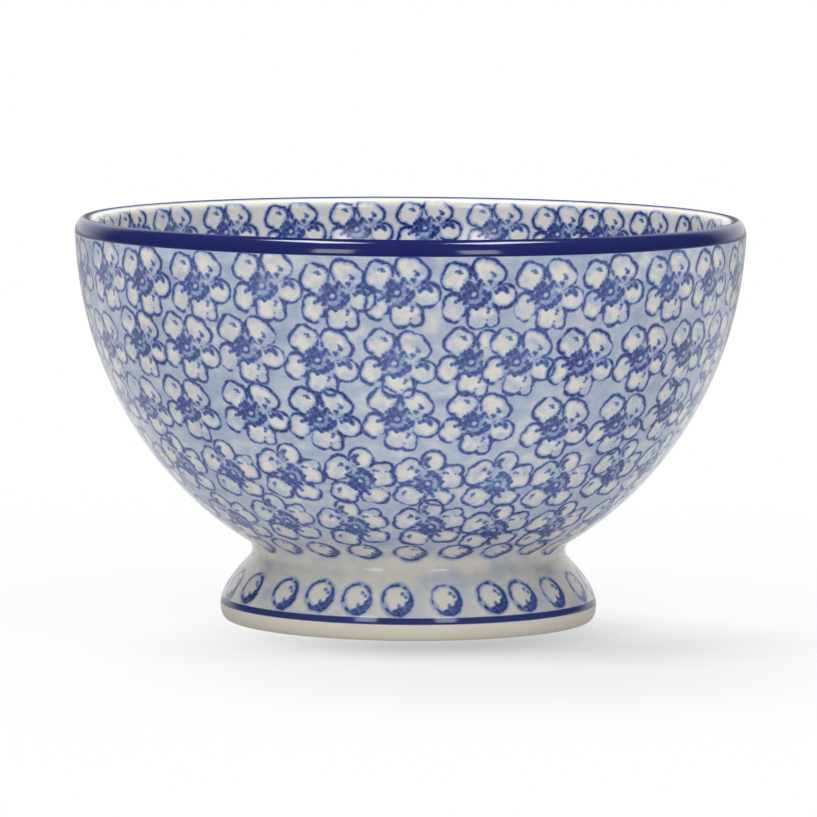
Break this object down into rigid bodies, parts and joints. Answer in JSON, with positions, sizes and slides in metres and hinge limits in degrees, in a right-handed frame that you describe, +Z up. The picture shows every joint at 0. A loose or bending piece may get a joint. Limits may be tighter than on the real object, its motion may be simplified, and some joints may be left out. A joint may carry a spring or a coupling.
{
  "type": "footed bowl",
  "caption": "Round glazed stoneware bowl with a deep rounded wall, full-round lip and low flared hollow foot luted on with slip; stands free and holds food or loose things.",
  "frame": {"origin": "middle of the foot ring's contact plane", "axes": "+Z up along the axis of revolution; the bowl is alike on every side"},
  "size_m": [0.16, 0.16, 0.096],
  "materials": {
    "bowl_glaze": "glossy clear glaze over cobalt-stamped blossoms on a pale blue wash, cobalt lip",
    "seam_glaze": "glossy clear glaze, pooled pale blue-grey",
    "foot_glaze": "glossy clear glaze over cobalt-stamped petals, cobalt line above a cream edge"
  },
  "bodies": {
    "root": {"bowl_body": "bowl_glaze", "slip_seam": "seam_glaze", "pedestal_foot": "foot_glaze"}
  },
  "joints": []
}
